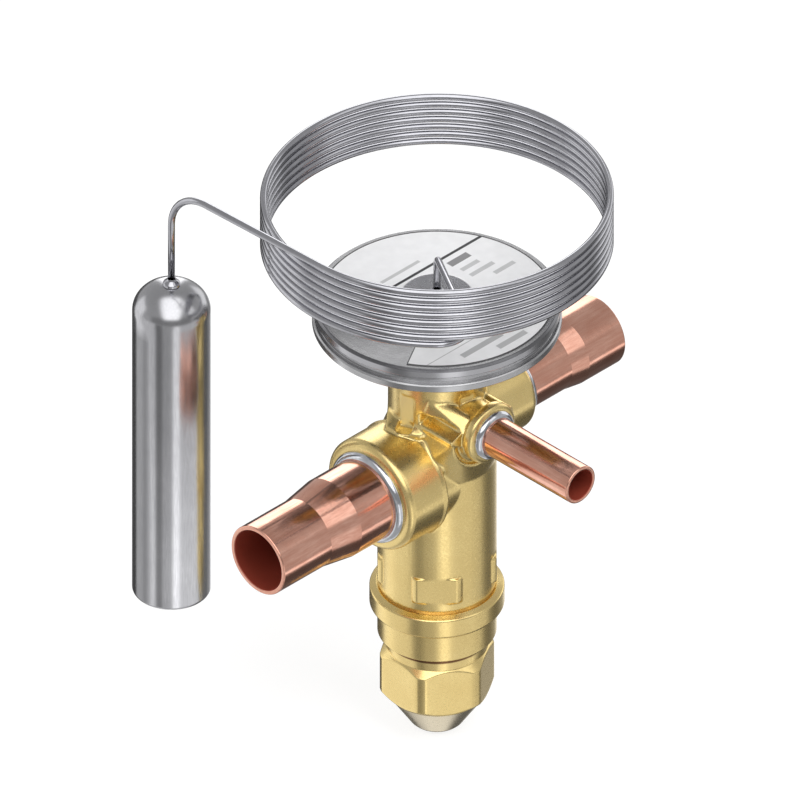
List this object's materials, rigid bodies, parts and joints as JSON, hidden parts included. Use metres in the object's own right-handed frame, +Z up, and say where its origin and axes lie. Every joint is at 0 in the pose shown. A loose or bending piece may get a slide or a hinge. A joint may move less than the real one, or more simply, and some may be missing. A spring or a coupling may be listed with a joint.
{
  "type": "thermostatic expansion valve with remote bulb",
  "caption": "Brazed-in brass expansion valve with diaphragm head, copper sockets, external equaliser, coiled capillary and sensing bulb.",
  "frame": {"origin": "centre of the inlet socket's mouth", "axes": "+X along the flow from inlet to outlet, -Y along the equaliser tube, +Z up along the valve axis towards the diaphragm head"},
  "size_m": [0.0937, 0.085, 0.1257],
  "materials": {
    "forged_brass": "fine-blasted forged brass, satin",
    "turned_brass": "turned brass, satin",
    "copper": "drawn copper, polished",
    "braze": "bright silver solder",
    "head_steel": "turned stainless steel",
    "bulb_steel": "polished stainless steel",
    "capillary_steel": "drawn stainless steel",
    "inner_steel": "ground stainless steel",
    "label": "pale foil label, unprinted apart from plain lines",
    "seal": "black elastomer"
  },
  "bodies": {
    "valve": {"valve_body": "forged_brass", "inlet_tube": "copper", "outlet_tube": "copper", "equaliser_tube": "copper", "inlet_braze_ring": "braze", "outlet_braze_ring": "braze", "equaliser_braze_ring": "braze", "inlet_strainer": "turned_brass", "orifice_seat": "inner_steel", "push_rod_seal": "seal", "seal_retainer": "turned_brass", "lower_head_cover": "head_steel", "diaphragm": "inner_steel", "upper_head_cover": "head_steel", "head_label": "label", "capillary_tube": "capillary_steel", "head_capillary_collar": "capillary_steel", "bulb": "bulb_steel", "bulb_capillary_collar": "capillary_steel", "superheat_spring": "inner_steel", "spindle_o_ring": "seal", "spindle_gland_nut": "turned_brass", "setting_housing": "turned_brass", "housing_washer": "copper"},
    "valve_train": {"valve_cone": "inner_steel", "spring_guide": "turned_brass", "push_rod": "inner_steel", "thrust_pad": "inner_steel"},
    "spring_seat": {"spring_seat": "turned_brass"},
    "setting_spindle": {"setting_spindle": "inner_steel"},
    "cap_washer": {"cap_washer": "copper"},
    "seal_cap": {"seal_cap": "turned_brass"}
  },
  "joints": [
    {"name": "valve_lift", "type": "slide", "parent": "valve", "child": "valve_train", "axis": [0, 0, -1], "range_m": [0, 0.0008], "stiffness_N_per_m": 500, "springref_m": -0.002, "deforming": ["superheat_spring"]},
    {"name": "setting_turn", "type": "hinge", "parent": "valve", "child": "setting_spindle", "pos_m": [0.0492, 0, -0.03], "axis": [0, 0, 1], "range_deg": [-545, 545]},
    {"name": "setting_travel", "type": "slide", "parent": "valve", "child": "spring_seat", "axis": [0, 0, 1], "range_m": [-0.0012, 0.0012], "deforming": ["superheat_spring"]},
    {"name": "cap_travel", "type": "slide", "parent": "valve", "child": "cap_washer", "axis": [0, 0, -1], "range_m": [0, 0.006]},
    {"name": "cap_turn", "type": "hinge", "parent": "cap_washer", "child": "seal_cap", "pos_m": [0.0492, 0, -0.05], "axis": [0, 0, -1], "range_deg": [0, 1445]}
  ],
  "couplings": [
    {"joint": "setting_turn", "follows": "setting_travel", "rad_per_m": -7854},
    {"joint": "cap_turn", "follows": "cap_travel", "rad_per_m": 4188.8}
  ]
}
